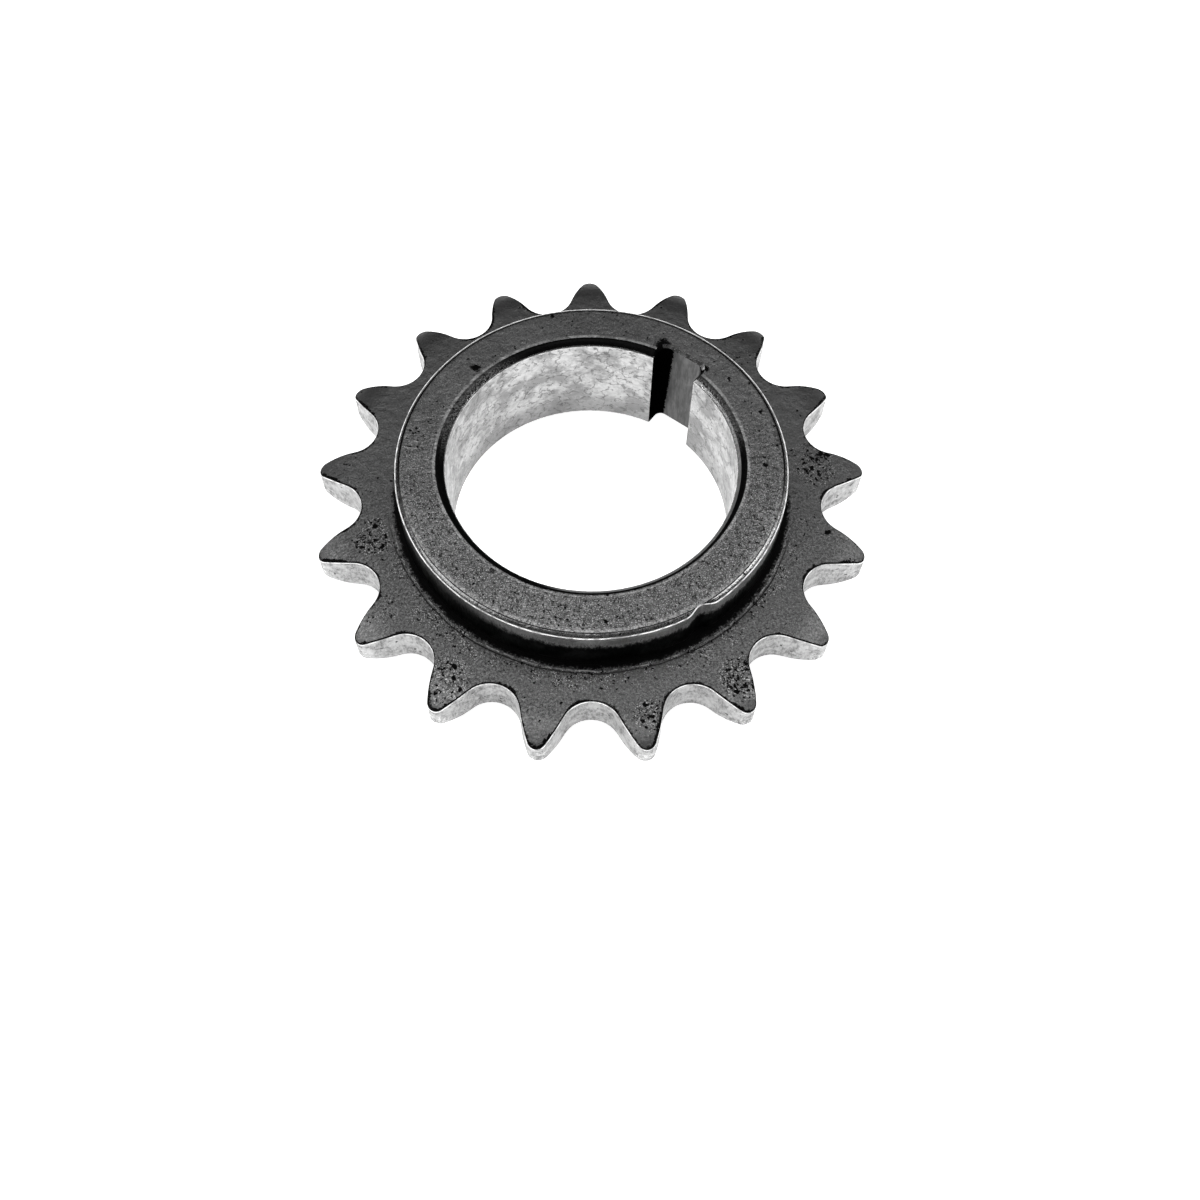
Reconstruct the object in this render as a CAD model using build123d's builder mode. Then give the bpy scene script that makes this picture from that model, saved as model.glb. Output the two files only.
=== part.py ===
from build123d import *
import os
from math import asin, cos, degrees, hypot, radians, sin, sqrt

# A timing sprocket for a single-row roller chain: one sintered steel piece.
# Millimetres, +Z up. The origin is on the bore's axis, on the face that the sprocket rests on.
# One tooth points along +Y. Turns are counted in teeth, clockwise from it, seen from above.

# Chain and teeth
chain_pitch = 9.525
roller_diameter = 5.6
teeth = 17
seat_angle = 123.5                   # how far round the roller its seat reaches
flank_radius = 13.8                  # bulge of a tooth's flank
tip_rounding = 0.98                  # full round from flank to flank
face_relief = 0.86                   # how far each face of a tooth falls away at the tip
relief_radius = 7.7
edge_break = 0.15                    # all round the toothed outline

# Heights
rear_height = 2.5                    # hub below the toothed plate
plate_thickness = 4.5
front_height = 5.1                   # hub above the toothed plate

# Hub
hub_diameter = 38.4
bore_diameter = 28.5
foot_chamfer = 0.3                   # where the front hub meets the plate

# Bevels of the hub's faces: the width across the face, and the height down the wall
rim_bevel_width = 0.5
rim_bevel_height = 0.22
mouth_bevel_width = 0.6
mouth_bevel_height = 0.32
bevel_blend = 0.9                    # radius that softens the front bevels into their face

# Keyway
key_width = 5.0
key_depth = 1.8
key_corner = 0.8
key_bevel = 0.3                      # round its mouth in each hub face
key_turn = 1.75

# Timing notch down the hub's front wall, on the centre line of one tooth
notch_width = 3.0
notch_depth = 0.6
notch_shoulder = 2.0                 # rounding where the notch runs out into the wall
notch_floor = 1.2                    # rounding at its deepest line
notch_turn = 7

# Worked out from the above
tooth_angle = 360 / teeth
half_angle = radians(tooth_angle / 2)
pitch_radius = chain_pitch / (2 * sin(half_angle))
hub_radius = hub_diameter / 2
bore_radius = bore_diameter / 2
plate_top = rear_height + plate_thickness
total_height = plate_top + front_height
beyond = 1.0                         # how far a cutting profile reaches past the metal

# A tooth stands along +Y between two rollers. Each seat is an arc about its roller, a little wider
# than the roller. A flank is an arc tangent to the end of the seat, struck from beyond the tooth's
# centre line, and the tip is a full round tangent to both flanks.
seat_radius = 0.505 * roller_diameter
root_radius = pitch_radius - seat_radius
roller_x = -pitch_radius * sin(half_angle)
roller_y = pitch_radius * cos(half_angle)
seat_end = radians(seat_angle / 2) + half_angle
strike_x = roller_x + (seat_radius + flank_radius) * sin(seat_end)
strike_y = roller_y - (seat_radius + flank_radius) * cos(seat_end)
tip_centre = strike_y + sqrt((flank_radius - tip_rounding) ** 2 - strike_x**2)
tip_radius = tip_centre + tip_rounding
tip_share = flank_radius / (flank_radius - tip_rounding)
tip_start_x = strike_x - tip_share * strike_x
tip_start_y = strike_y + tip_share * (tip_centre - strike_y)

# Each face falls away outside a circle, along an arc that is tangent to the face there
relief_start = tip_radius - sqrt(relief_radius**2 - (relief_radius - face_relief) ** 2)
relief_turn = degrees(asin((tip_radius + beyond - relief_start) / relief_radius))


def on_relief_start(edge):
    """Whether an edge is the smooth line where a face begins to fall away."""
    middle = edge @ 0.5
    return abs(hypot(middle.X, middle.Y) - relief_start) < 0.001


def on_hub_wall(edge):
    """Whether an edge that runs round the bore belongs to the hub's wall and not to the teeth."""
    middle = edge @ 0.5
    return bore_radius + key_depth < hypot(middle.X, middle.Y) < (hub_radius + root_radius) / 2


# One tooth on its slice of the disc, from the middle of one seat to the middle of the next
with BuildSketch() as tooth:
    with BuildLine():
        seat = CenterArc((roller_x, roller_y), seat_radius, tooth_angle / 2 - 90, seat_angle / 2)
        flank = RadiusArc(seat @ 1, (tip_start_x, tip_start_y), flank_radius)
        RadiusArc(flank @ 1, (0, tip_radius), tip_rounding)
        Line((0, 0), seat @ 0)
        mirror(about=Plane.YZ)
    make_face()


# Sprocket
with BuildPart() as sprocket:
    # Toothed plate: the slices side by side, both faces relieved towards the tips, all edges broken
    with BuildSketch(Plane.XY.offset(rear_height)):
        with PolarLocations(0, teeth):
            add(tooth.sketch)
    extrude(amount=plate_thickness)
    with BuildSketch(Plane((0, 0, rear_height + plate_thickness / 2), (1, 0, 0), (0, -1, 0))):
        with BuildLine():
            fall = JernArc((relief_start, plate_thickness / 2), (1, 0), relief_radius, -relief_turn)
            Polyline(fall @ 1, ((fall @ 1).X, plate_thickness / 2), fall @ 0)
        make_face()
        mirror(about=Plane.XZ)
    revolve(axis=Axis.Z, mode=Mode.SUBTRACT)
    upright = sprocket.edges().filter_by(Axis.Z)
    chamfer(sprocket.edges() - upright - sprocket.edges().filter_by(on_relief_start), edge_break)

    # Hub: the turned section of the ring that carries the plate, with both faces bevelled
    with BuildSketch(Plane.XZ) as section:
        with BuildLine():
            Polyline(
                (bore_radius, mouth_bevel_height),
                (bore_radius, total_height - mouth_bevel_height),
                (bore_radius + mouth_bevel_width, total_height),
                (hub_radius - rim_bevel_width, total_height),
                (hub_radius, total_height - rim_bevel_height),
                (hub_radius, rim_bevel_height),
                (hub_radius - rim_bevel_width, 0),
                (bore_radius + mouth_bevel_width, 0),
                close=True,
            )
        make_face()
        fillet(section.vertices().group_by(Axis.Y)[-1], bevel_blend)
    revolve(axis=Axis.Z)

    # Bore: opens the plate in the middle of the ring
    with BuildSketch(Plane.XY.offset(rear_height)):
        Circle(bore_radius)
    extrude(amount=plate_thickness, mode=Mode.SUBTRACT)

    # Keyway: through the whole ring, with its two inner corners rounded and both its mouths bevelled
    with BuildSketch() as keyway:
        with PolarLocations(bore_radius, 1, start_angle=90 - key_turn * tooth_angle):
            Rectangle(2 * key_depth, key_width)
        inner_corners = keyway.vertices().sort_by(lambda v: hypot(v.X, v.Y))[-2:]
        fillet(inner_corners, key_corner)
    extrude(amount=total_height, mode=Mode.SUBTRACT)
    with BuildPart(mode=Mode.SUBTRACT):
        with BuildSketch(Plane.XY.offset(total_height)):
            offset(keyway.sketch, key_bevel, kind=Kind.INTERSECTION)
        extrude(amount=-key_bevel, taper=45)
        mirror(about=Plane.XY.offset(total_height / 2))

    # Timing notch: a shallow vee down the front wall, its shoulders and its floor rounded
    with BuildSketch(Plane.XY.offset(plate_top)):
        with PolarLocations(hub_radius, 1, start_angle=90 - notch_turn * tooth_angle):
            spread = notch_width / 2 * (notch_depth + beyond) / notch_depth
            Polygon((-notch_depth, 0), (beyond, -spread), (beyond, spread), align=None)
    extrude(amount=front_height, mode=Mode.SUBTRACT)
    notch_middle = Vector(hub_radius - notch_depth, 0, plate_top + front_height / 2)
    notch_middle = notch_middle.rotate(Axis.Z, 90 - notch_turn * tooth_angle)
    fillet(sprocket.edges().filter_by(Axis.Z).sort_by_distance(notch_middle)[1:3], notch_shoulder)
    fillet(sprocket.edges().filter_by(Axis.Z).sort_by_distance(notch_middle)[0], notch_floor)

    # Foot of the front hub, notch included
    foot = sprocket.edges().filter_by_position(Axis.Z, plate_top, plate_top)
    chamfer(foot.filter_by(on_hub_wall), foot_chamfer)

sprocket.part.label = "sprocket"
os.makedirs("parts", exist_ok=True)
export_step(sprocket.part, "parts/sprocket.step")
print(f"tip diameter {2 * tip_radius:.2f}, root diameter {2 * root_radius:.2f}")
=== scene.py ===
# %% [markdown]
# # A used chain sprocket, dressed for its photograph
# The part is a single-row timing sprocket: iron powder pressed in a die, sintered, and blackened in steam.
# The imported model already has its true shape, so this lesson is about surface, edges, light and camera.
# We load the imported model first and keep its box; the rounding of edges later holds the copy's heights
# inside it. We load the imported model first and keep its box, because nothing that we add may grow past
# it.

# %% Load the imported model
import math
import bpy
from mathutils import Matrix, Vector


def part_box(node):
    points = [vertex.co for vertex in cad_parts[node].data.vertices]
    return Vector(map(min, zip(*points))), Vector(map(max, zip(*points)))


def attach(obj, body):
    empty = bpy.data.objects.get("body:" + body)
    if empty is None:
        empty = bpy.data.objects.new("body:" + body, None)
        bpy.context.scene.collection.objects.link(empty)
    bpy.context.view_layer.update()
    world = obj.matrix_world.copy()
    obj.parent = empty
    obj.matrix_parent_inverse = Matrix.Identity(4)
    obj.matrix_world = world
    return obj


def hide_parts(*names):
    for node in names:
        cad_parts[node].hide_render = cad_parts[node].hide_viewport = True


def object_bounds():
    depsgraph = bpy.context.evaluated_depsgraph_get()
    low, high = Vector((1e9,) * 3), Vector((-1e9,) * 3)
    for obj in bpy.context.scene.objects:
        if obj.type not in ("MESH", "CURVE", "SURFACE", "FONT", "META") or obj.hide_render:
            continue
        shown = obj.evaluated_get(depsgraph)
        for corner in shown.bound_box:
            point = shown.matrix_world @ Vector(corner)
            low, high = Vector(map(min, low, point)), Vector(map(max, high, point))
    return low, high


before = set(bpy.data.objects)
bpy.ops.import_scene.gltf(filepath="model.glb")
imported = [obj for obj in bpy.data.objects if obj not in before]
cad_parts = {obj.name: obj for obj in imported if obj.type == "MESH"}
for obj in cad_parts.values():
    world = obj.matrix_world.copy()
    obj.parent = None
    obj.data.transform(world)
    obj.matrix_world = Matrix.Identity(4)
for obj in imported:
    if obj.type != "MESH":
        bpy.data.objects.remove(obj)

from types import SimpleNamespace

import bpy
from mathutils import Matrix, Vector

cad_low, cad_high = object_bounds()
MM = 0.001
print("box of the packed model, mm:", [round(side / MM, 2) for side in cad_high - cad_low])

# %% [markdown]
# ## Sizes that the looks need
# Every finish on this part belongs to one face of the press tool: the faces, the toothed rim, the bore.
# A few radii and heights in millimetres are enough to tell those faces apart.
# The seams are where the flat face of the hub turns into its bevels. The teeth need a few sizes more,
# because dirt gathers along their outline: the roller that sits in a gap and the arc of a flank.

# %% Sizes of the sprocket
HUB_RADIUS = 19.2
RIM_SEAM = HUB_RADIUS - 0.5
BORE_RADIUS = 14.25
MOUTH_SEAM = BORE_RADIUS + 0.6
PLATE_TOP = 7.0
HUB_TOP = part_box("sprocket")[1].z / MM
TIP_RADIUS = 27.86
TEETH = 17
KEYWAY_TURN = math.radians(90 - 1.75 * 360 / TEETH)
KEYWAY_HALF_WIDTH = 2.5
ROLLER = (4.7625, 25.48, 0)         # centre of the roller right of the tooth that points along +Y
SEAT_RADIUS = 2.83
SEAT_END = 24.7                     # how far from the axis the seat runs out into the flank
FLANK_CENTRE = (-11.08, 20.43, 0)
FLANK_RADIUS = 13.8
print("hub top at", round(HUB_TOP, 2), "mm")

# %% [markdown]
# ## The camera
# A photograph taken by hand is never quite square to its subject, so we place the camera by three things:
# the point that it looks at, its distance and its two angles, and then a small roll about the line of sight.
# The object sits left of and above the picture's centre. A shift moves the frame without turning the lens,
# which keeps the ellipses of the hub true.

# %% Camera
AIM = Vector((-3.08, 0.87, 7.0)) * MM
DISTANCE = 131.2 * MM
AZIMUTH = math.radians(1.61)
ELEVATION = math.radians(57.29)
ROLL = math.radians(-1.30)
LENS = 38.95
SHIFT = (0.0333, -0.1)

back = Vector((
    math.sin(AZIMUTH) * math.cos(ELEVATION),
    -math.cos(AZIMUTH) * math.cos(ELEVATION),
    math.sin(ELEVATION),
))
bpy.ops.object.select_all(action="DESELECT")
bpy.ops.object.camera_add(location=AIM + DISTANCE * back)
camera = bpy.context.object
camera.rotation_mode = "QUATERNION"
camera.rotation_quaternion = (-back).to_track_quat("-Z", "Y") @ Matrix.Rotation(ROLL, 4, "Z").to_quaternion()
camera.data.lens = LENS
camera.data.shift_x, camera.data.shift_y = SHIFT
camera.data.clip_start = 5 * MM
bpy.context.scene.camera = camera
bpy.context.view_layer.update()
print("camera at, mm:", [round(value / MM, 1) for value in camera.location])
print("its right-hand side points to", [round(value, 4) for value in camera.matrix_world.col[0].xyz])

# %% [markdown]
# ## A helper for shader nodes
# Colours are easiest to judge as the hex values of a picture, but a shader works in linear light.
# One function turns one into the other. A second one adds a shader node with its inputs and settings and
# hands back one of its outputs, so that a finish reads as a short list of steps.
# Settings that come back again and again have a name, such as the eased step that all masks use.

# %% Tones and nodes
def tone(code):
    """A colour from its sRGB hex code, as linear red, green, blue and alpha."""
    parts = [int(code[i:i + 2], 16) / 255 for i in (1, 3, 5)]
    return tuple(c / 12.92 if c <= 0.04045 else ((c + 0.055) / 1.055) ** 2.4 for c in parts) + (1.0,)


def add(tree, kind, *inputs, out=0, **settings):
    """A new shader node. Inputs fill its sockets in order: a number, a hex colour or another output.
    A setting names a socket, or else belongs to the node itself. What comes back is one output, or all."""
    node = tree.nodes.new("ShaderNode" + kind)
    sockets = {socket.identifier: socket for socket in node.inputs}
    filled = list(zip(node.inputs, inputs))
    for name, value in settings.items():
        if name in sockets:
            filled.append((sockets[name], value))
        else:
            setattr(node, name, value)
    for socket, value in filled:
        if isinstance(value, bpy.types.NodeSocket):
            tree.links.new(value, socket)
        else:
            socket.default_value = tone(value) if isinstance(value, str) else value
    return node.outputs if out is None else node.outputs[out]


SOFT = {"interpolation_type": "SMOOTHSTEP"}     # a step that eases in and out
COLOURS = {"data_type": "RGBA", "out": 2}       # a mix of two colours
TIMES = {"operation": "MULTIPLY"}
TIMES_PLUS = {"operation": "MULTIPLY_ADD"}      # the first times the second, plus the third
LARGER = {"operation": "MAXIMUM"}
ALONG = {"operation": "DOT_PRODUCT", "out": "Value"}     # how far a point lies in one direction
AWAY = {"operation": "DISTANCE", "out": "Value"}         # how far a point lies from another
print("tones:", {code: round(tone(code)[0], 3) for code in ("#303030", "#808080", "#e0e0e0")})

# %% [markdown]
# ## Floor and light
# Bare steel shows whatever it faces. The walls of the teeth and the bore face down towards the floor,
# so a bright floor makes them bright. The flat faces mirror the upper part of the room, which stays dark.
# Low down the room is pale, so the bevels that lean away from us end in a bright line.
# The floor is a white sheet on a light table: it glows a little, which keeps the shadows faint.
# One large soft box hangs overhead, a little beyond the sprocket. It gives the near half of the faces its
# softer grey, and leaves the bevels that look back at the camera dark. A smaller one on each side lights the
# falling tips of the teeth and the rim's bevel.

# %% Floor, soft boxes and room
def soft_box(name, place, width, power):
    """A square lamp that points at the sprocket."""
    bpy.ops.object.select_all(action="DESELECT")
    bpy.ops.object.light_add(type="AREA", location=place)
    lamp = bpy.context.object
    lamp.name = name
    lamp.data.size = width
    lamp.data.energy = power
    lamp.rotation_mode = "QUATERNION"
    lamp.rotation_quaternion = (-Vector(place)).to_track_quat("-Z", "Y")


soft_box("soft_box_beyond", (-0.02, 0.14, 0.60), 0.34, 1.2)
soft_box("soft_box_left", (-0.33, 0.02, 0.52), 0.25, 1.6)
soft_box("soft_box_right", (0.35, 0.11, 0.49), 0.25, 1.3)

light_table = bpy.data.materials.new("white_sheet_on_light_table")
light_table.use_nodes = True
sheet = light_table.node_tree.nodes["Principled BSDF"].inputs
sheet["Base Color"].default_value = (0.8, 0.8, 0.8, 1)
sheet["Roughness"].default_value = 0.9
sheet["Emission Color"].default_value = (1, 1, 1, 1)
sheet["Emission Strength"].default_value = 1.0

# The room's brightness by the way one looks, from level or lower (0) to straight up (1)
ROOM_LIGHT = ((0.0, 0.85), (0.14, 0.60), (0.34, 0.02), (0.80, 0.03), (1.0, 0.16))
room = bpy.data.worlds.new("dark_room_with_pale_skirting")
bpy.context.scene.world = room
room.use_nodes = True
sky = room.node_tree
rise = add(sky, "SeparateXYZ", add(sky, "TexCoord", out="Generated"), out="Z")
brightness = add(sky, "ValToRGB", rise)
ramp = brightness.node.color_ramp
ramp.interpolation = "EASE"
for index, (height, light) in enumerate(ROOM_LIGHT):
    if index >= len(ramp.elements):
        ramp.elements.new(height)
    ramp.elements[index].position = height
    ramp.elements[index].color = (light, light, light, 1)
sky.links.new(brightness, sky.nodes["Background"].inputs["Color"])
bpy.context.scene.view_settings.view_transform = "Standard"

bpy.ops.object.select_all(action="DESELECT")
bpy.ops.mesh.primitive_plane_add(size=6.0, location=(0, 0, 0))
floor = bpy.context.object
floor.name = "floor"
floor.data.materials.append(light_table)

# %% [markdown]
# ## Masks that the finishes share
# A mask is a number from 0 to 1 that says how much of a mark is in one place. Noise makes lumps, random
# cells make pits, and a distance makes a round spot or a band.
# A finish is then a stack of coats: a ground colour, and over it one colour after another, each by its mask.
# Where a mask says dirt, oxide, open pore or painted shade, the surface is no metal there, and dull.

# %% Masks, coats and relief
def new_finish(name):
    """An empty material with its tree, its shader, and the place on the piece in millimetres."""
    material = bpy.data.materials.new(name)
    material.use_nodes = True
    tree = material.node_tree
    place = add(tree, "TexCoord", out="Object")
    place_mm = add(tree, "VectorMath", place, operation="SCALE", Scale=1 / MM)
    return material, tree, tree.nodes["Principled BSDF"], place_mm


def cloudy(tree, place, size, low, high, detail=2.0, roughness=0.5, distortion=0.0, ends=(0.0, 1.0)):
    """A mask of lumps about size millimetres across: noise, clear below low and full above high."""
    lumps = add(tree, "TexNoise", place, Scale=1 / size, Detail=detail, Roughness=roughness,
                Distortion=distortion)
    return add(tree, "MapRange", lumps, low, high, *ends, **SOFT)


def pits(tree, place, spacing, share, size):
    """Ragged pits on a share of random cells, spacing millimetres apart. The share may be a mask."""
    ragged = add(tree, "TexNoise", place, Scale=1.1 / spacing, Detail=3.0, out="Color")
    place = add(tree, "VectorMath", ragged, (1.7 * spacing,) * 3, place, **TIMES_PLUS)
    cells = add(tree, "TexVoronoi", place, Scale=1 / spacing, out=None)
    luck = add(tree, "SeparateColor", cells["Color"], out=None)
    taken = add(tree, "Math", luck[0], share, operation="LESS_THAN")
    reach = add(tree, "MapRange", luck[1], 0.0, 1.0, 0.4 * size, size, **SOFT)
    inside = add(tree, "Math", reach, cells["Distance"], operation="SUBTRACT")
    inside = add(tree, "MapRange", inside, 0.0, 0.1, **SOFT)
    return add(tree, "Math", taken, inside, **TIMES)


def spot(tree, place, centre, reach):
    """A soft round patch of a given reach about one point of the piece."""
    away = add(tree, "VectorMath", place, centre, **AWAY)
    return add(tree, "MapRange", away, 0.35 * reach, reach, 1.0, 0.0, **SOFT)


def band(tree, source, start, end, soft):
    """1 between start and end, with soft shoulders outside them."""
    begun = add(tree, "MapRange", source, start - soft, start, **SOFT)
    not_over = add(tree, "MapRange", source, end, end + soft, 1.0, 0.0, **SOFT)
    return add(tree, "Math", begun, not_over, **TIMES)


def radius_height_turn(tree, place):
    """How far a point is from the bore's axis, its height, and its turn about the axis."""
    axes = add(tree, "SeparateXYZ", place, out=None)
    flat = add(tree, "VectorMath", place, (1, 1, 0), **TIMES)
    radius = add(tree, "VectorMath", flat, operation="LENGTH", out="Value")
    turn = add(tree, "Math", axes["Y"], axes["X"], operation="ARCTAN2")
    return radius, axes["Z"], turn


def painted(tree, skin, *coats):
    """Coats over a ground colour. Each has a mask, a colour, and how much of it covers at most."""
    for mask, colour, most in coats:
        if most < 1:
            mask = add(tree, "MapRange", mask, 0.0, 1.0, 0.0, most, **SOFT)
        skin = add(tree, "Mix", mask, A_Color=skin, B_Color=colour, **COLOURS)
    return skin


def dirty(tree, shader, dirt_and_shade, sheen=0.02):
    """Steel stays metal, but under this mask lies dirt, oxide, an open pore, or painted shade: no metal, and
    matt.
    """
    for socket, clean, covered in (("Metallic", 1.0, 0.0), ("Specular IOR Level", 0.5, sheen)):
        tree.links.new(add(tree, "MapRange", dirt_and_shade, 0.0, 1.0, clean, covered, **SOFT), shader.inputs[socket])


def wire_up(tree, shader, colour, roughness, relief, depth):
    """Link a steel's colour, its roughness, and a relief of some depth in millimetres to its shader."""
    shader.inputs["Metallic"].default_value = 1.0
    bump = add(tree, "Bump", Strength=1.0, Distance=depth * MM, Height=relief)
    for socket, source in (("Base Color", colour), ("Roughness", roughness), ("Normal", bump)):
        tree.links.new(source, shader.inputs[socket])


print("masks and coats ready")

# %% [markdown]
# ## Steam-blackened pressed faces
# The faces are squeezed flat by the punches. Between the iron grains tiny pores stay open, and steam at
# about 550 degrees turns the whole skin to dark grey magnetite. The finish is long, so we build it in parts.
# The first part says where a point lies: on the hub or on the toothed plate, on the near or the far side.
# The photograph is sharp in front and softer at the back, so the grain is crisp in front only.

# %% Where a point lies on the pressed faces
BETWEEN = (4.0, 5.0)         # mm from mid height: beyond the plate's two faces, short of the hub's two
NEAR_SIDE = (-14.0, 2.0)     # mm along Y, over which the near side passes into the far side
IN_FOCUS = (-10.0, 12.0)     # mm along Y, over which the photograph loses its sharpness


def face_zones(tree, place):
    """The radius and turn of a point of the pressed faces, and masks for the part that it lies on."""
    radius, height, turn = radius_height_turn(tree, place)
    depth = add(tree, "SeparateXYZ", place, out="Y")
    near = add(tree, "MapRange", depth, *NEAR_SIDE, 1.0, 0.0, **SOFT)
    from_middle = add(tree, "Math", height, HUB_TOP / 2, operation="SUBTRACT")
    from_middle = add(tree, "Math", from_middle, operation="ABSOLUTE")
    return SimpleNamespace(
        radius=radius,
        turn=turn,
        near=near,
        far=add(tree, "MapRange", near, 0.0, 1.0, 1.0, 0.0, **SOFT),
        crisp=add(tree, "MapRange", depth, *IN_FOCUS, 1.0, 0.35, **SOFT),
        on_hub=add(tree, "MapRange", from_middle, *BETWEEN, **SOFT),
        on_plate=add(tree, "MapRange", from_middle, *BETWEEN, 1.0, 0.0, **SOFT),
    )


print("faces above the middle by mm: plate", round(PLATE_TOP - HUB_TOP / 2, 2), "hub", round(HUB_TOP / 2, 2))

# %% [markdown]
# ## Pores that stand in crowds
# Powder packs unevenly in the die, so open pores are rare in most places and crowded in a few. We keep the
# crowds of this one sprocket as centre, reach and share. The nicks are torn spots at the hub's edges.
# Beside the hub's foot the plate is flecked, because the corner of the die is where powder packs worst.

# %% Pores, crowds and nicks
PORE_CROWDS = (
    ((-21.5, -6.2, PLATE_TOP), 2.3, 1.1), ((-21.4, -4.6, PLATE_TOP), 1.5, 0.6),
    ((22.9, 2.1, PLATE_TOP), 2.4, 1.0), ((23.3, 4.4, PLATE_TOP), 2.3, 1.2),
    ((13.9, -20.6, PLATE_TOP), 2.9, 1.1), ((5.3, -24.4, PLATE_TOP), 2.2, 0.8),
    ((-13.5, -21.0, PLATE_TOP), 3.6, 0.5), ((-3.0, -16.5, HUB_TOP), 1.6, 0.45),
)
NICKS = (
    ((7.55, 14.15, HUB_TOP), 1.3), ((11.75, 11.1, HUB_TOP), 0.75),
    ((-11.7, 11.2, HUB_TOP), 0.9), ((7.5, -11.5, HUB_TOP), 0.8),
)


def pore_crowds(tree, place, at):
    """How crowded the open pores are: few at random, more in the crowds and at the hub's foot."""
    crowd = cloudy(tree, place, 4.5, 0.53, 0.70, detail=3.0, roughness=0.6, ends=(0.025, 0.3))
    for centre, reach, share in PORE_CROWDS:
        patch = add(tree, "MapRange", spot(tree, place, centre, reach), 0.0, 1.0, 0.0, share, **SOFT)
        crowd = add(tree, "Math", crowd, patch, **LARGER)
    flecks = cloudy(tree, place, 1.6, 0.42, 0.60, detail=3.0, roughness=0.6, ends=(0.05, 0.45))
    by_foot = add(tree, "MapRange", at.radius, HUB_RADIUS + 1.5, HUB_RADIUS + 4.0, 1.0, 0.0, **SOFT)
    for mask in (at.near, by_foot, at.on_plate):
        flecks = add(tree, "Math", flecks, mask, **TIMES)
    return add(tree, "Math", crowd, flecks, **LARGER)


def open_pores(tree, place, crowd):
    """Small and large pores where they crowd, and the torn nicks."""
    coarse_share = add(tree, "MapRange", crowd, 0.3, 1.0, 0.01, 0.75, **SOFT)
    fine = pits(tree, place, 0.28, crowd, 0.52)
    coarse = pits(tree, place, 0.58, coarse_share, 0.54)
    pores = add(tree, "Math", fine, coarse, **LARGER)
    torn = add(tree, "TexNoise", place, Scale=1 / 0.62, Detail=5.0, Roughness=0.8, Distortion=0.6)
    for centre, reach in NICKS:
        away = add(tree, "VectorMath", place, centre, **AWAY)
        away = add(tree, "Math", torn, 2.4 * reach, away, **TIMES_PLUS)
        nick = add(tree, "MapRange", away, 1.65 * reach, 1.80 * reach, 1.0, 0.0, **SOFT)
        pores = add(tree, "Math", pores, nick, **LARGER)
    return pores


print("crowds of pores:", len(PORE_CROWDS), "nicks:", len(NICKS))

# %% [markdown]
# ## The grain of the skin
# The eye sees a fine salt-and-pepper grain, soft clouds where the oxide is thicker, and sparks where a grain
# was squeezed bright. The grains are about 0.1 mm. They are drawn near 0.25 mm, because finer ones would
# vanish in the picture.

# %% Salt-and-pepper grain
def grainy_skin(tree, place, at, crowd):
    """The colour of the pressed skin, and the mask of its grains."""
    grain = add(tree, "TexNoise", place, Scale=1 / 0.25, Detail=4.0, Roughness=0.78)
    grain = add(tree, "MapRange", grain, 0.36, 0.64)
    even = add(tree, "MapRange", at.crisp, 0.0, 1.0, 0.5, 0.0, **SOFT)
    grain = add(tree, "Math", at.crisp, grain, even, **TIMES_PLUS)
    coarse = add(tree, "Math", at.on_hub, add(tree, "MapRange", crowd, 0.1, 0.4, **SOFT), **LARGER)
    clouds = cloudy(tree, place, 7.0, 0.38, 0.62, detail=4.0, roughness=0.6)
    sparks = cloudy(tree, place, 0.13, 0.56, 0.70, detail=1.0)
    sparks = add(tree, "Math", at.crisp, sparks, **TIMES)
    sparks = add(tree, "Math", sparks, add(tree, "MapRange", coarse, 0.0, 1.0, 0.15, 0.7, **SOFT), **TIMES)
    holes = cloudy(tree, place, 0.34, 0.39, 0.44, detail=4.0, roughness=0.74, distortion=0.3, ends=(1.0, 0.0))
    holes = add(tree, "Math", holes, at.crisp, **TIMES)
    holes = add(tree, "Math", holes, add(tree, "MapRange", coarse, 0.0, 1.0, 0.25, 0.9, **SOFT), **TIMES)
    plate_skin = add(tree, "Mix", grain, A_Color="#303030", B_Color="#666666", **COLOURS)
    hub_skin = add(tree, "Mix", grain, A_Color="#282828", B_Color="#767676", **COLOURS)
    skin = add(tree, "Mix", at.on_hub, A_Color=plate_skin, B_Color=hub_skin, **COLOURS)
    skin = painted(tree, skin, (clouds, "#4c4c4c", 0.45), (sparks, "#b8b8b8", 1), (holes, "#121212", 1))
    return skin, grain


print("grain drawn at 0.25 mm")

# %% [markdown]
# ## Marks on the hub's faces
# Beside the bevels the face carries a painted highlight, drawn as bands rubbed lighter, and the bevel of the
# rim is lighter still, with a bright lip, but darkened by painted shade on its near left. Black dirt stayed
# in the seams between face and bevels. On the far side painted dark reflection makes it wider, and something
# rubbed it thin on the left and on the right of the bore's mouth.

# %% Painted highlight bands, bevel, scratches, seams and painted shade
MOUTH_SCUFFS = (((-12.9, 7.6, HUB_TOP), 8.5), ((13.2, 6.6, HUB_TOP), 7.0))
# the extra width on the far side is painted dark reflection
FAR_SHADE_WIDTH = 0.34              # the black band of the bore's mouth is this much wider on the far side


def mouth_scuffs(tree, place):
    """Two soft patches where something rubbed the bore's mouth."""
    left, right = (spot(tree, place, centre, reach) for centre, reach in MOUTH_SCUFFS)
    return add(tree, "Math", left, right, **LARGER)


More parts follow.
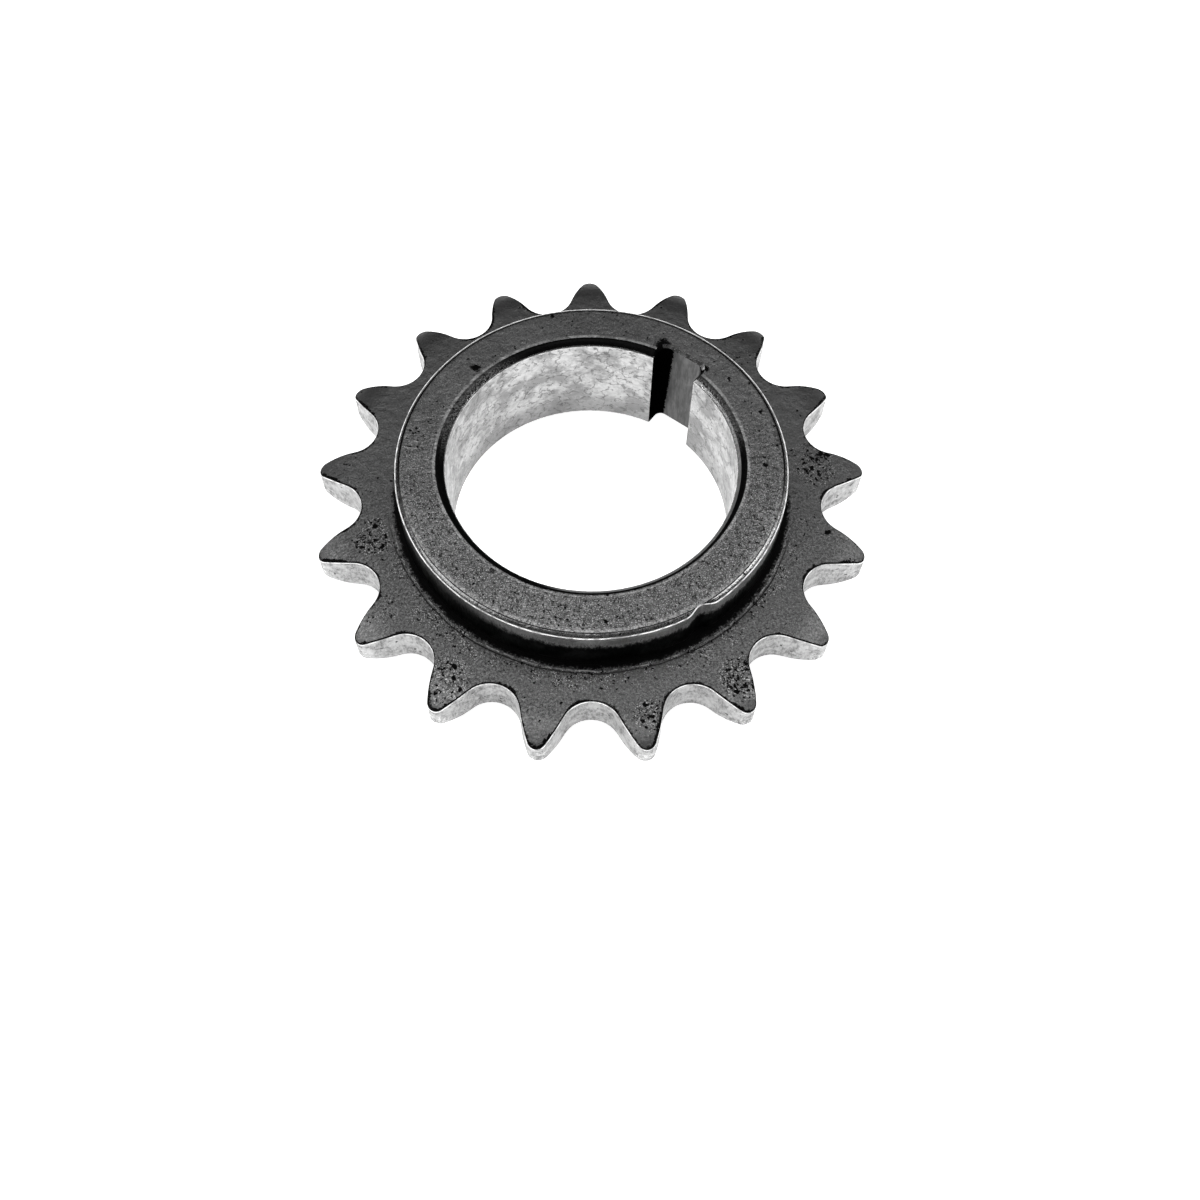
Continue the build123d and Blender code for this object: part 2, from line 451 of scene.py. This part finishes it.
def highlight_bands(tree, place, at, grain, mouth_edge):
    """Painted highlights, drawn as rubbed bands: lighter beside the rim's bevel, on the near side, and beside
    the bore's mouth.
    """
    by_rim = band(tree, at.radius, RIM_SEAM - 0.16, RIM_SEAM - 0.10, 0.40)
    by_rim = add(tree, "Math", by_rim, at.near, **TIMES)
    patchy = cloudy(tree, place, 1.3, 0.4, 0.6, detail=4.0, roughness=0.7, ends=(0.6, 1.9))
    even = add(tree, "MapRange", at.far, 0.0, 1.0, 1.0, 0.0, **SOFT)
    patchy = add(tree, "Math", at.far, patchy, even, **TIMES_PLUS)
    by_mouth = band(tree, mouth_edge, MOUTH_SEAM + 0.08, MOUTH_SEAM + 0.20, 0.18)
    by_mouth = add(tree, "Math", by_mouth, patchy, **TIMES)
    rubbed = add(tree, "Math", by_rim, by_mouth, **LARGER)
    rubbed = add(tree, "Math", at.on_hub, rubbed, **TIMES)
    return add(tree, "Math", rubbed, add(tree, "MapRange", grain, 0.0, 1.0, 0.05, 0.5, **SOFT), **TIMES)


def black_seams_and_far_shade(tree, place, at, grain, mouth_edge):
    """Black dirt where the hub's face turns into its bevels, drawn wider on the far side as painted dark
    reflection.
    """
    # the far side's wider band is painted dark reflection
    far_seam_with_shade = band(tree, at.radius, RIM_SEAM - 0.01, RIM_SEAM + 0.13, 0.05)
    far_seam_with_shade = add(tree, "Math", far_seam_with_shade, at.far, **TIMES)
    near_seam = band(tree, at.radius, RIM_SEAM - 0.01, RIM_SEAM + 0.03, 0.05)
    near_seam = add(tree, "Math", near_seam, at.near, **TIMES)
    mouth = add(tree, "MapRange", mouth_edge, MOUTH_SEAM - 0.04, MOUTH_SEAM + 0.04, 1.0, 0.0, **SOFT)
    scuffed = add(tree, "Math", grain, mouth_scuffs(tree, place), **TIMES)
    mouth = add(tree, "Math", mouth, add(tree, "MapRange", scuffed, 0.0, 1.0, 1.0, 0.3, **SOFT), **TIMES)
    seam_black_and_far_shade = add(tree, "Math", far_seam_with_shade, near_seam, **LARGER)
    seam_black_and_far_shade = add(tree, "Math", seam_black_and_far_shade, mouth, **LARGER)
    return add(tree, "Math", seam_black_and_far_shade, at.on_hub, **TIMES)


def hub_marks(tree, place, at, grain, skin):
    """The skin with the marks of the hub's faces, painted highlight and shade among them, and the masks of
    the rim's bevel and of the seams.
    """
    # on the far side the mouth's black band reaches further out: painted dark reflection
    mouth_edge = add(tree, "Math", at.far, -FAR_SHADE_WIDTH, at.radius, **TIMES_PLUS)
    # painted highlight where the face rounds into its bevels, drawn as rubbed bands
    rubbed = highlight_bands(tree, place, at, grain, mouth_edge)
    seam_black_and_far_shade = black_seams_and_far_shade(tree, place, at, grain, mouth_edge)
    bevel = add(tree, "MapRange", at.radius, RIM_SEAM, RIM_SEAM + 0.08, **SOFT)
    bevel = add(tree, "Math", at.on_hub, bevel, **TIMES)
    lip = add(tree, "MapRange", at.radius, HUB_RADIUS - 0.28, HUB_RADIUS - 0.18, **SOFT)
    lip = add(tree, "Math", bevel, lip, **TIMES)
    near_left = add(tree, "VectorMath", place, (-0.75, -0.66, 0), **ALONG)
    # painted shade: the rim's bevel is darker towards the near left
    near_left_shade = add(tree, "Math", bevel, add(tree, "MapRange", near_left, 12.0, 18.5, **SOFT), **TIMES)
    slant = add(tree, "Mapping", place, Rotation=(0, 0, math.radians(-20)), Scale=(0.12, 1, 1))
    scratches = cloudy(tree, slant, 0.16, 0.6, 0.7, distortion=0.2)
    for mask in (cloudy(tree, place, 2.4, 0.5, 0.62), spot(tree, place, (-15.5, 3.5, HUB_TOP), 8.0)):
        scratches = add(tree, "Math", scratches, mask, **TIMES)
    # among these coats the rounding highlight and the near-left shade are painted, and the seams' far side is
    # painted dark reflection
    skin = painted(
        tree, skin, (rubbed, "#b0b0b0", 1), (bevel, "#7c7c7c", 1), (lip, "#9c9c9c", 1),
        (near_left_shade, "#4c4c4c", 0.8), (scratches, "#b4b4b4", 0.7), (seam_black_and_far_shade, "#060606", 1),
    )
    return skin, bevel, seam_black_and_far_shade


print("seams at, mm:", RIM_SEAM, MOUTH_SEAM)

# %% [markdown]
# ## Marks on the toothed plate
# Black at the hub's foot is dirt and painted shade, and beside it runs a trace of the die: a light ring,
# which is a painted highlight, with a groove in painted shade. Fingers wore the tips of the teeth a little
# lighter. Along the edges of the teeth runs a ragged black band. To find it, we fold every tooth onto one
# half tooth and measure how far a point lies inside the outline.

# %% Dirt and painted shade at the foot, ring, groove and dark tooth edges
def inside_outline(tree, radius, turn):
    """How far a point lies inside the toothed outline: one half tooth, folded round the wheel."""
    teeth = add(tree, "Math", turn, TEETH / math.tau, -TEETH / 4, **TIMES_PLUS)
    half = add(tree, "Math", teeth, 0.5, operation="PINGPONG")
    angle = add(tree, "Math", half, math.tau / TEETH, **TIMES)
    across = add(tree, "Math", radius, add(tree, "Math", angle, operation="SINE"), **TIMES)
    along = add(tree, "Math", radius, add(tree, "Math", angle, operation="COSINE"), **TIMES)
    point = add(tree, "CombineXYZ", across, along)
    seat = add(tree, "VectorMath", point, ROLLER, **AWAY)
    seat = add(tree, "Math", seat, SEAT_RADIUS, operation="SUBTRACT")
    flank = add(tree, "VectorMath", point, FLANK_CENTRE, **AWAY)
    flank = add(tree, "Math", FLANK_RADIUS, flank, operation="SUBTRACT")
    below_flank = add(tree, "Math", SEAT_END, radius, operation="SUBTRACT")
    tip = add(tree, "Math", TIP_RADIUS, radius, operation="SUBTRACT")
    side = add(tree, "Math", flank, below_flank, **LARGER)
    nearest = add(tree, "Math", seat, side, operation="MINIMUM")
    return add(tree, "Math", nearest, tip, operation="MINIMUM")


def dark_tooth_edges(tree, place, at):
    """A ragged black band along the edges of the teeth, here narrow and there wide."""
    ragged = add(tree, "TexNoise", place, Scale=1 / 0.3, Detail=4.0, Roughness=0.8)
    inside = add(tree, "Math", ragged, 0.9, inside_outline(tree, at.radius, at.turn), **TIMES_PLUS)
    width = cloudy(tree, place, 3.2, 0.40, 0.62, detail=3.0, ends=(0.02, 0.32))
    inside = add(tree, "Math", inside, width, operation="SUBTRACT")
    return add(tree, "MapRange", inside, 0.46, 0.54, 1.0, 0.0, **SOFT)


def plate_marks(tree, place, at, skin):
    """The skin with the marks of the toothed plate, and the masks of the dirt and painted shade at its foot,
    of its ring with painted highlight and of its groove with painted shade.
    """
    handled = add(tree, "MapRange", at.radius, TIP_RADIUS - 3.6, TIP_RADIUS - 0.6, **SOFT)
    handled = add(tree, "Math", handled, add(tree, "MapRange", at.near, 0.0, 1.0, 0.1, 0.18, **SOFT), **TIMES)
    speckle = add(tree, "TexNoise", place, Scale=1 / 0.24, Detail=3.0, Roughness=0.7)
    ragged = add(tree, "Math", add(tree, "TexNoise", place, Scale=1 / 1.4), 0.7, at.radius, **TIMES_PLUS)
    ragged = add(tree, "Math", speckle, 1.3, ragged, **TIMES_PLUS)
    # dirt and painted shade where the plate meets the hub's foot
    dirt_and_shade = add(tree, "MapRange", ragged, HUB_RADIUS + 1.5, HUB_RADIUS + 1.9, 1.0, 0.0, **SOFT)
    dirt_and_shade = add(tree, "Math", at.on_plate, dirt_and_shade, **TIMES)
    waved = add(tree, "Math", add(tree, "TexNoise", place, Scale=1 / 2.5), 0.35, at.radius, **TIMES_PLUS)
    near_plate = add(tree, "Math", at.on_plate, at.near, **TIMES)
    broken = cloudy(tree, place, 1.1, 0.44, 0.56, detail=5.0, roughness=0.8)
    # painted highlight along the die's ring, on the near side
    ring_highlight = band(tree, waved, HUB_RADIUS + 1.02, HUB_RADIUS + 1.08, 0.07)
    ring_highlight = add(tree, "Math", add(tree, "Math", ring_highlight, near_plate, **TIMES), broken, **TIMES)
    # painted shade in the groove beside the ring
    groove_shade = band(tree, waved, HUB_RADIUS + 1.26, HUB_RADIUS + 1.32, 0.07)
    groove_shade = add(tree, "Math", groove_shade, near_plate, **TIMES)
    skin = painted(
        tree, skin, (handled, "#a0a0a0", 1), (dirt_and_shade, "#0a0a0a", 1),
        (groove_shade, "#101010", 0.7), (ring_highlight, "#a0a0a0", 0.8),
    )
    return skin, dirt_and_shade, ring_highlight, groove_shade


print("teeth folded onto one half tooth of", round(180 / TEETH, 2), "degrees")

# %% [markdown]
# ## The pressed faces, put together
# Coats first, then how dull each place is, and last the relief: lumps and grains are raised, pores and the
# groove are sunk, and the ring stands proud. The bevels and seams are smoother than the grainy skin.

# %% Finish: steam-blackened pressed steel
def steam_blackened_faces():
    """Grainy dark skin, with the marks of the hub and of the plate, painted highlights and shade among them,
    pores and dark edges.
    """
    material, tree, shader, place = new_finish("steam_blackened_pressed_steel")
    at = face_zones(tree, place)
    crowd = pore_crowds(tree, place, at)
    pores = open_pores(tree, place, crowd)
    dark_edge_band = dark_tooth_edges(tree, place, at)
    skin, grain = grainy_skin(tree, place, at, crowd)
    skin, bevel, seam_black_and_far_shade = hub_marks(tree, place, at, grain, skin)
    skin, dirt_and_shade, ring_highlight, groove_shade = plate_marks(tree, place, at, skin)
    skin = painted(tree, skin, (pores, "#050505", 1), (dark_edge_band, "#080808", 1))

    smooth = add(tree, "Math", bevel, seam_black_and_far_shade, **LARGER)
    dull = add(tree, "MapRange", grain, 0.0, 1.0, 0.5, 0.36, **SOFT)
    dull = add(tree, "Math", smooth, -0.16, dull, **TIMES_PLUS)
    # no metal under pores, dirt, dark edges and painted shade
    black = pores
    for mask in (dirt_and_shade, dark_edge_band, seam_black_and_far_shade, groove_shade):
        black = add(tree, "Math", black, mask, **LARGER)

    lumps = cloudy(tree, place, 0.9, 0.35, 0.65, detail=3.0, roughness=0.6)
    raised = add(tree, "Math", grain, add(tree, "MapRange", smooth, 0.0, 1.0, 1.0, 0.2, **SOFT), **TIMES)
    for mask, height in ((lumps, 1.4), (pores, -3.0), (ring_highlight, 2.5), (groove_shade, -2.0)):
        raised = add(tree, "Math", mask, height, raised, **TIMES_PLUS)
    wire_up(tree, shader, skin, dull, raised, 0.013)
    dirty(tree, shader, black)
    return material


FACES = steam_blackened_faces()
print("finish:", FACES.name, "with", len(FACES.node_tree.nodes), "nodes")

# %% [markdown]
# ## Tooth flanks rubbed bright by the chain
# The rollers polish the oxide off the flanks and seats. What is left is bare steel with a satin sheen,
# a faint mottle where the rollers pressed less, a few open pores, and upright drag marks from the die.
# The tips knocked against other things, so they are scuffed almost white low down.

# %% Finish: flanks rubbed bright
def rubbed_flanks():
    """Satin steel with a mottle, drag marks, stains, pores and pale scuffs at the tips."""
    material, tree, shader, place = new_finish("roller_rubbed_steel")
    radius, height, _ = radius_height_turn(tree, place)
    upright = add(tree, "Mapping", place, Scale=(1, 1, 0.35))
    mottle = cloudy(tree, place, 1.3, 0.36, 0.64, detail=5.0, roughness=0.7)
    drags = cloudy(tree, upright, 0.2, 0.34, 0.66, detail=3.0, roughness=0.75)
    stains = cloudy(tree, place, 0.7, 0.60, 0.70, detail=4.0, roughness=0.7)
    scuffs = cloudy(tree, place, 0.34, 0.50, 0.60, detail=4.0, roughness=0.8)
    tips = add(tree, "MapRange", radius, TIP_RADIUS - 1.3, TIP_RADIUS - 0.2, **SOFT)
    low = add(tree, "MapRange", height, PLATE_TOP - 3.6, PLATE_TOP - 1.2, 1.0, 0.25, **SOFT)
    for mask in (tips, low):
        scuffs = add(tree, "Math", scuffs, mask, **TIMES)
    pores = pits(tree, place, 0.5, 0.14, 0.36)
    steel = add(tree, "Mix", mottle, A_Color="#6a6a6a", B_Color="#a4a4a4", **COLOURS)
    steel = painted(
        tree, steel, (drags, "#c0c0c0", 0.5), (stains, "#565656", 0.5),
        (scuffs, "#ececec", 1), (pores, "#2e2e2e", 1),
    )
    dull = add(tree, "MapRange", mottle, 0.0, 1.0, 0.5, 0.34, **SOFT)
    raised = add(tree, "Math", pores, -1.5, drags, **TIMES_PLUS)
    raised = add(tree, "Math", scuffs, 2.0, raised, **TIMES_PLUS)
    wire_up(tree, shader, steel, dull, raised, 0.01)
    return material


FLANKS = rubbed_flanks()
print("finish:", FLANKS.name)

# %% [markdown]
# ## The bore, sized on a mandrel
# The bore is pushed over a sizing pin after sintering, so it is the brightest face of all.
# It sat on a shaft in old oil. The oil dried to thin films, which left pale patches with dark fine veins.
# The pattern is wrapped round the bore like paper, with its seam turned into the keyway, where no wall is.

# %% Finish: sized bore
def sized_bore():
    """Pale steel under thin films of old oil, with dark veins and specks, greyer towards the rear."""
    material, tree, shader, place = new_finish("sized_bore_steel")
    turned = add(tree, "Mapping", place, Rotation=(0, 0, math.pi - KEYWAY_TURN))
    _, height, turn = radius_height_turn(tree, turned)
    wall = add(tree, "CombineXYZ", add(tree, "Math", turn, BORE_RADIUS, **TIMES), height)
    leaning = add(tree, "Mapping", wall, Rotation=(0, 0, math.radians(-25)), Scale=(0.8, 1.0, 1))
    patches = cloudy(tree, leaning, 3.0, 0.40, 0.58, detail=6.0, roughness=0.68, distortion=0.3)
    films = cloudy(tree, leaning, 0.55, 0.40, 0.62, detail=5.0, roughness=0.75, distortion=0.4)
    oiled = add(tree, "MapRange", patches, 0.0, 1.0, 0.6, 0.3, **SOFT)
    oiled = add(tree, "Math", films, oiled, **TIMES)
    ripples = add(tree, "TexNoise", wall, Scale=1 / 0.7, Detail=4.0, out="Color")
    rippled = add(tree, "VectorMath", ripples, (1.1, 1.1, 1.1), leaning, **TIMES_PLUS)
    cracks = add(tree, "TexVoronoi", rippled, feature="DISTANCE_TO_EDGE", Scale=1 / 1.1, out="Distance")
    broken = cloudy(tree, wall, 0.9, 0.44, 0.56, detail=4.0, roughness=0.7)
    veins = add(tree, "Math", add(tree, "MapRange", cracks, 0.01, 0.1, 1.0, 0.0, **SOFT), broken, **TIMES)
    ragged = add(tree, "TexNoise", wall, Scale=1 / 1.6, Detail=4.0, Roughness=0.65)
    ragged = add(tree, "Math", ragged, 3.0, height, **TIMES_PLUS)
    foot = add(tree, "MapRange", ragged, 3.0, 6.0, 1.0, 0.0, **SOFT)
    specks = pits(tree, wall, 0.26, 0.14, 0.36)
    steel = add(tree, "Mix", patches, A_Color="#888888", B_Color="#bcbcbc", **COLOURS)
    steel = painted(
        tree, steel, (oiled, "#888888", 1), (foot, "#7c7c7c", 0.6),
        (veins, "#4a4a4a", 0.62), (specks, "#343434", 0.6),
    )
    dull = add(tree, "MapRange", films, 0.0, 1.0, 0.3, 0.45, **SOFT)
    raised = add(tree, "Math", veins, -1.5, patches, **TIMES_PLUS)
    wire_up(tree, shader, steel, dull, raised, 0.01)
    return material


BORE = sized_bore()
print("finish:", BORE.name)

# %% [markdown]
# ## Walls and bevels that kept all of their oxide
# Nothing ever touched the hub's outer wall or the small bevels of the bore's mouths, so their steam oxide is
# still thick, smooth and nearly black; that black, with the metal taken off, is partly painted shade for the
# dark they mirror.
# The upper part of the hub's wall on the near right carries a painted reflection, drawn as a band wiped bare,
# and on the right the lip of the bore's mouth is bare too.

# %% Finish: untouched oxide, partly painted shade, with a painted reflection on the wall
def painted_wall_reflection(tree, place, height, drags, on_wall):
    """A painted reflection on the top of the hub's wall, drawn as a bare band with a ragged lower edge."""
    lumps = add(tree, "TexNoise", place, Scale=1 / 1.2, Detail=4.0, Roughness=0.7)
    speckle = add(tree, "TexNoise", place, Scale=1 / 0.22, Detail=3.0, Roughness=0.8)
    speckle = add(tree, "Math", drags, 0.4, speckle, **TIMES_PLUS)
    edge = add(tree, "Math", lumps, 1.3, height, **TIMES_PLUS)
    edge = add(tree, "Math", speckle, 1.1, edge, **TIMES_PLUS)
    wall_sheen = add(tree, "MapRange", edge, HUB_TOP - 0.9, HUB_TOP + 0.8, **SOFT)
    near_right = add(tree, "VectorMath", place, (0.45, -0.9, 0), **ALONG)
    for mask in (add(tree, "MapRange", near_right, 8.0, 17.0, 0.12, 1.0, **SOFT), on_wall):
        wall_sheen = add(tree, "Math", wall_sheen, mask, **TIMES)
    return wall_sheen


def oxide_and_painted_shade():
    """Nearly black oxide, partly painted shade, with a painted reflection on the top of the wall, bare where
    rubbed or scuffed.
    """
    material, tree, shader, place = new_finish("untouched_steam_oxide_and_painted_shade")
    radius, height, _ = radius_height_turn(tree, place)
    upright = add(tree, "Mapping", place, Scale=(1, 1, 0.25))
    drags = cloudy(tree, upright, 0.22, 0.34, 0.66, detail=3.0, roughness=0.8)
    on_wall = add(tree, "MapRange", radius, HUB_RADIUS - 0.8, HUB_RADIUS - 0.7, **SOFT)
    thin = cloudy(tree, place, 2.2, 0.42, 0.66, detail=4.0, roughness=0.65)
    thin = add(tree, "Math", on_wall, add(tree, "MapRange", thin, 0.0, 1.0, 0.0, 0.4, **SOFT), **TIMES)
    to_the_right = add(tree, "VectorMath", place, (0.9, -0.45, 0), **ALONG)
    worn_side = add(tree, "MapRange", to_the_right, 1.0, 7.0, **SOFT)
    lip = add(tree, "MapRange", radius, BORE_RADIUS + 0.26, BORE_RADIUS + 0.38, 1.0, 0.0, **SOFT)
    lip = add(tree, "Math", lip, add(tree, "MapRange", worn_side, 0.0, 1.0, 0.0, 0.8, **SOFT), **TIMES)
    in_mouth = add(tree, "MapRange", radius, BORE_RADIUS + 1.0, BORE_RADIUS + 1.2, 1.0, 0.0, **SOFT)
    scuffed = cloudy(tree, place, 0.16, 0.42, 0.60, detail=3.0, roughness=0.8)
    for mask in (in_mouth, mouth_scuffs(tree, place)):
        scuffed = add(tree, "Math", scuffed, mask, **TIMES)
    # painted reflection on the top of the hub's wall
    wall_sheen = painted_wall_reflection(tree, place, height, drags, on_wall)
    # near-black oxide, partly painted shade
    skin = add(tree, "Mix", drags, A_Color="#020202", B_Color="#090909", **COLOURS)
    skin = painted(
        tree, skin, (thin, "#222222", 1), (lip, "#b0b0b0", 1), (scuffed, "#565656", 1), (wall_sheen, "#aaaaaa", 1),
    )
    dull = add(tree, "MapRange", drags, 0.0, 1.0, 0.42, 0.3, **SOFT)
    raised = add(tree, "Math", scuffed, 1.0, drags, **TIMES_PLUS)
    wire_up(tree, shader, skin, dull, raised, 0.008)
    # bare metal, the painted reflection on the wall included
    bare = add(tree, "Math", add(tree, "Math", lip, scuffed, **LARGER), wall_sheen, **LARGER)
    dirty(tree, shader, add(tree, "MapRange", bare, 0.0, 1.0, 1.0, 0.0, **SOFT))
    return material


WALLS = oxide_and_painted_shade()
print("finish:", WALLS.name)

# %% [markdown]
# ## The keyway
# The key lay on the keyway's floor and kept it dry: a smooth even grey with faint upright lines.
# Its sides are black with oxide, old grease and painted shade, and the black spreads with a ragged edge onto
# the floor.

# %% Finish: keyway
def shaded_greasy_keyway():
    """A dry grey floor between sides black with grease and painted shade."""
    material, tree, shader, place = new_finish("greasy_keyway_steel")
    sideways = (math.sin(KEYWAY_TURN), -math.cos(KEYWAY_TURN), 0)
    across = add(tree, "VectorMath", place, sideways, **ALONG)
    height = add(tree, "SeparateXYZ", place, out="Z")
    upright = add(tree, "Mapping", place, Scale=(1, 1, 0.15))
    lines = cloudy(tree, upright, 0.35, 0.34, 0.66, detail=3.0, roughness=0.7)
    clouds = cloudy(tree, place, 2.0, 0.40, 0.62, detail=3.0)
    speckle = add(tree, "TexNoise", place, Scale=1 / 0.4, Detail=4.0, Roughness=0.8)
    ragged = add(tree, "Math", speckle, 0.8, across, **TIMES_PLUS)
    ragged = add(tree, "Math", height, -0.05, ragged, **TIMES_PLUS)
    near_wall = -KEYWAY_HALF_WIDTH
    # grease and painted shade, spreading from one side onto the floor with a ragged edge
    grease_and_shade = add(tree, "MapRange", ragged, near_wall + 0.95, near_wall + 1.1, 1.0, 0.0, **SOFT)
    corner = add(tree, "Math", height, 0.45, across, **TIMES_PLUS)
    corner = add(tree, "Math", speckle, 0.6, corner, **TIMES_PLUS)
    corner = add(tree, "MapRange", corner, 7.45, 7.6, **SOFT)
    side = add(tree, "MapRange", across, KEYWAY_HALF_WIDTH - 0.25, KEYWAY_HALF_WIDTH - 0.05, **SOFT)
    for mask in (corner, side):
        grease_and_shade = add(tree, "Math", grease_and_shade, mask, **LARGER)
    skin = add(tree, "Mix", lines, A_Color="#505050", B_Color="#626262", **COLOURS)
    skin = painted(tree, skin, (clouds, "#404040", 0.4), (grease_and_shade, "#020202", 1))
    dull = add(tree, "MapRange", lines, 0.0, 1.0, 0.46, 0.38, **SOFT)
    raised = add(tree, "Math", grease_and_shade, 4.0, lines, **TIMES_PLUS)
    wire_up(tree, shader, skin, dull, raised, 0.005)
    dirty(tree, shader, grease_and_shade, sheen=0.0)
    return material


KEYWAY = shaded_greasy_keyway()
print("finish:", KEYWAY.name)

# %% [markdown]
# ## Edges that hands and other parts have rubbed
# On the hub's rim and at the bore's mouth the oxide is gone from the very edge. A real edge is never sharp:
# it is a tiny rounding, and that rounding is what catches the light as a thin bright line.

# %% Finish: rubbed edge
def rubbed_edge():
    """Bare bright steel, here and there a little duller."""
    material, tree, shader, place = new_finish("rubbed_bare_edge")
    worn = cloudy(tree, place, 0.8, 0.34, 0.60, detail=4.0, roughness=0.7)
    steel = add(tree, "Mix", worn, A_Color="#929292", B_Color="#e0e0e0", **COLOURS)
    dull = add(tree, "MapRange", worn, 0.0, 1.0, 0.34, 0.18, **SOFT)
    wire_up(tree, shader, steel, dull, worn, 0.008)
    return material


EDGE = rubbed_edge()
print("finish:", EDGE.name)

# %% [markdown]
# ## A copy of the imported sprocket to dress
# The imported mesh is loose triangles, and it may not be changed, so we dress a copy.
# Merging its doubles joins the triangles into one skin, and flat triangles that lie side by side become one
# face. Shading comes later, when all the edges are there.

# %% Copy and merge
FINISHES = (FACES, FLANKS, BORE, EDGE, WALLS, KEYWAY)
dressed = bpy.data.objects.new("sprocket_dressed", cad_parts["sprocket"].data.copy())
bpy.context.collection.objects.link(dressed)
dressed.data.materials.clear()
for finish in FINISHES:
    dressed.data.materials.append(finish)

bpy.ops.object.select_all(action="DESELECT")
dressed.select_set(True)
bpy.context.view_layer.objects.active = dressed
bpy.ops.mesh.customdata_custom_splitnormals_clear()
bpy.ops.object.mode_set(mode="EDIT")
bpy.ops.mesh.select_all(action="SELECT")
bpy.ops.mesh.remove_doubles(threshold=0.001 * MM)
bpy.ops.mesh.dissolve_limited(angle_limit=math.radians(0.2))
bpy.ops.object.mode_set(mode="OBJECT")
print("points after merging:", len(dressed.data.vertices), "faces:", len(dressed.data.polygons))

# %% [markdown]
# ## Which face gets which finish
# A face is known by where it is and which way it looks. Upright faces beyond the hub are tooth flanks,
# and upright faces at the bore's radius are the bore. An upright face deeper in belongs to the keyway.
# Leaning faces are bevels, and all the rest is pressed face.

# %% Give each face its finish
UPRIGHT = 0.3        # the normal of an upright face rises or falls less than this
FLAT = 0.85          # and the normal of a flat face more than this


def finish_of(face):
    """The finish that suits a face."""
    radius = math.hypot(face.center.x, face.center.y) / MM
    upright = abs(face.normal.z) < UPRIGHT
    leaning = UPRIGHT <= abs(face.normal.z) < FLAT
    in_upper_half = face.center.z / MM > HUB_TOP / 2
    towards_axis = -(face.center.x * face.normal.x + face.center.y * face.normal.y) / MM / radius
    if upright and radius > HUB_RADIUS + 0.5:
        return FLANKS
    if upright and radius < BORE_RADIUS + 0.02:
        return BORE
    if upright and radius < HUB_RADIUS - 1.0:
        return KEYWAY
    if leaning and in_upper_half and MOUTH_SEAM < radius < HUB_RADIUS - 1.0 and towards_axis > 0.5:
        return EDGE                  # the bevel at the end of the keyway's front mouth
    if upright or leaning and (radius > HUB_RADIUS + 0.5 or radius < HUB_RADIUS - 1.0):
        return WALLS
    if radius < MOUTH_SEAM and towards_axis > 0.3:
        return WALLS                 # the bevel of the bore's mouth
    return FACES


for face in dressed.data.polygons:
    face.material_index = FINISHES.index(finish_of(face))
used = [face.material_index for face in dressed.data.polygons]
print("faces of each finish:", {finish.name: used.count(slot) for slot, finish in enumerate(FINISHES)})

# %% [markdown]
# ## Round the sharp edges
# The hub has a sharp edge round its rim, which follows the timing notch, one round each mouth of the bore,
# and one along the top of the teeth. There an upright face meets one that isn't, so we pick the edges by
# the faces on their two sides.
# We bevel them by 0.2 mm at the rim, 0.13 mm at the mouths and 0.07 mm at the teeth, and give the new
# faces the rubbed finish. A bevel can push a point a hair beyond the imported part, so the heights are
# held between its lowest and its highest point.

# %% Round the rim, the mouths and the teeth
def round_edges(inner, outer, low, high, width):
    """Round the edges in a ring where an upright face meets another, and give them the rubbed finish."""
    mesh = dressed.data
    slopes = {}
    for face in mesh.polygons:
        for key in face.edge_keys:
            slopes.setdefault(key, []).append(abs(face.normal.z))
    bpy.ops.object.mode_set(mode="EDIT")
    bpy.ops.mesh.select_mode(type="EDGE")
    bpy.ops.mesh.select_all(action="DESELECT")
    bpy.ops.object.mode_set(mode="OBJECT")
    for edge in mesh.edges:
        ends = [mesh.vertices[end].co / MM for end in edge.vertices]
        in_ring = all(inner < math.hypot(end.x, end.y) < outer and low < end.z < high for end in ends)
        sides = slopes.get(edge.key, [])
        edge.select = in_ring and len(sides) == 2 and min(sides) < UPRIGHT < max(sides)
    picked = sum(edge.select for edge in mesh.edges)
    bpy.ops.object.mode_set(mode="EDIT")
    bpy.ops.mesh.bevel(
        offset=width * MM, segments=3, affect="EDGES", material=FINISHES.index(EDGE), clamp_overlap=False,
    )
    bpy.ops.object.mode_set(mode="OBJECT")
    return picked


FRONT_AND_REAR = ((HUB_TOP - 0.5, HUB_TOP + 0.1), (-0.1, 0.5))      # heights about the hub's two faces
for low, high in FRONT_AND_REAR:
    print("rim edges rounded:", round_edges(HUB_RADIUS - 1.0, HUB_RADIUS + 0.1, low, high, 0.2))
    print("mouth edges rounded:", round_edges(BORE_RADIUS - 0.1, BORE_RADIUS + 0.1, low, high, 0.13))
picked = round_edges(HUB_RADIUS + 1.0, TIP_RADIUS + 0.1, PLATE_TOP - 2.0, PLATE_TOP, 0.07)
print("tooth edges rounded:", picked)

for point in dressed.data.vertices:
    point.co.z = min(max(point.co.z, cad_low.z), cad_high.z)

# %% [markdown]
# ## Shade it
# Shading is smooth except at real edges. Weighted normals let each large flat face decide its own shading,
# so that it stays flat up to its edge and only the small rounding curves.

# %% Smooth shading
bpy.ops.object.shade_smooth_by_angle(angle=math.radians(28))
bpy.ops.object.modifier_add(type="WEIGHTED_NORMAL")
weighted = dressed.modifiers[-1]
weighted.keep_sharp = True
weighted.mode = "FACE_AREA_WITH_ANGLE"
bpy.ops.object.modifier_apply(modifier=weighted.name)
print("faces after rounding:", len(dressed.data.polygons))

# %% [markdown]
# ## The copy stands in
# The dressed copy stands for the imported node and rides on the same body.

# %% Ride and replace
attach(dressed, "root")
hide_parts("sprocket")
